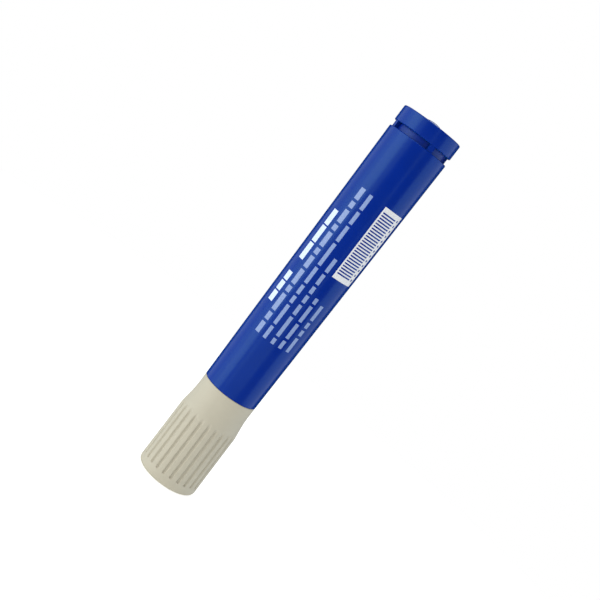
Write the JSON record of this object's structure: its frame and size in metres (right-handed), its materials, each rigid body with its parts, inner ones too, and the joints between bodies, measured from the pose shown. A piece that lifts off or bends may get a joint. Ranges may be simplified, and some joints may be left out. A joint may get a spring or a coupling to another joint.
{
  "type": "whiteboard marker",
  "caption": "Tapered plastic whiteboard marker with a grooved pull-off cap, bullet nib, inner fibre reservoir and a pressed-in tail closure.",
  "frame": {"origin": "centre of the flat closed end of the cap, which the marker stands on", "axes": "+Z along the marker's axis towards its tail; -Y is the printed side"},
  "size_m": [0.0202, 0.0202, 0.1336],
  "materials": {
    "cap_plastic": "fine matt, stone beige",
    "liner_plastic": "natural polyethylene",
    "barrel_plastic": "glossy deep blue",
    "holder_plastic": "satin, warm grey",
    "nib_fibre": "ink-soaked polyester fibre",
    "reservoir_fibre": "ink-soaked polyester fibre",
    "film_plastic": "thin film",
    "collar_plastic": "satin violet blue",
    "tail_plastic": "glossy deep blue"
  },
  "bodies": {
    "cap": {"cap_shell": "cap_plastic"},
    "cap_seal": {"cap_inner_seal": "liner_plastic"},
    "barrel": {"barrel": "barrel_plastic", "nib_holder": "holder_plastic", "nib": "nib_fibre", "ink_reservoir": "reservoir_fibre", "reservoir_film": "film_plastic", "tail_seal": "collar_plastic", "tail_cap": "tail_plastic"}
  },
  "joints": [
    {"name": "cap_turn", "type": "hinge", "parent": "cap", "child": "cap_seal", "pos_m": [0, 0, 0], "axis": [0, 0, 1], "continuous": true},
    {"name": "cap_pull", "type": "slide", "parent": "cap_seal", "child": "barrel", "axis": [0, 0, 1], "range_m": [0, 0.042]}
  ]
}
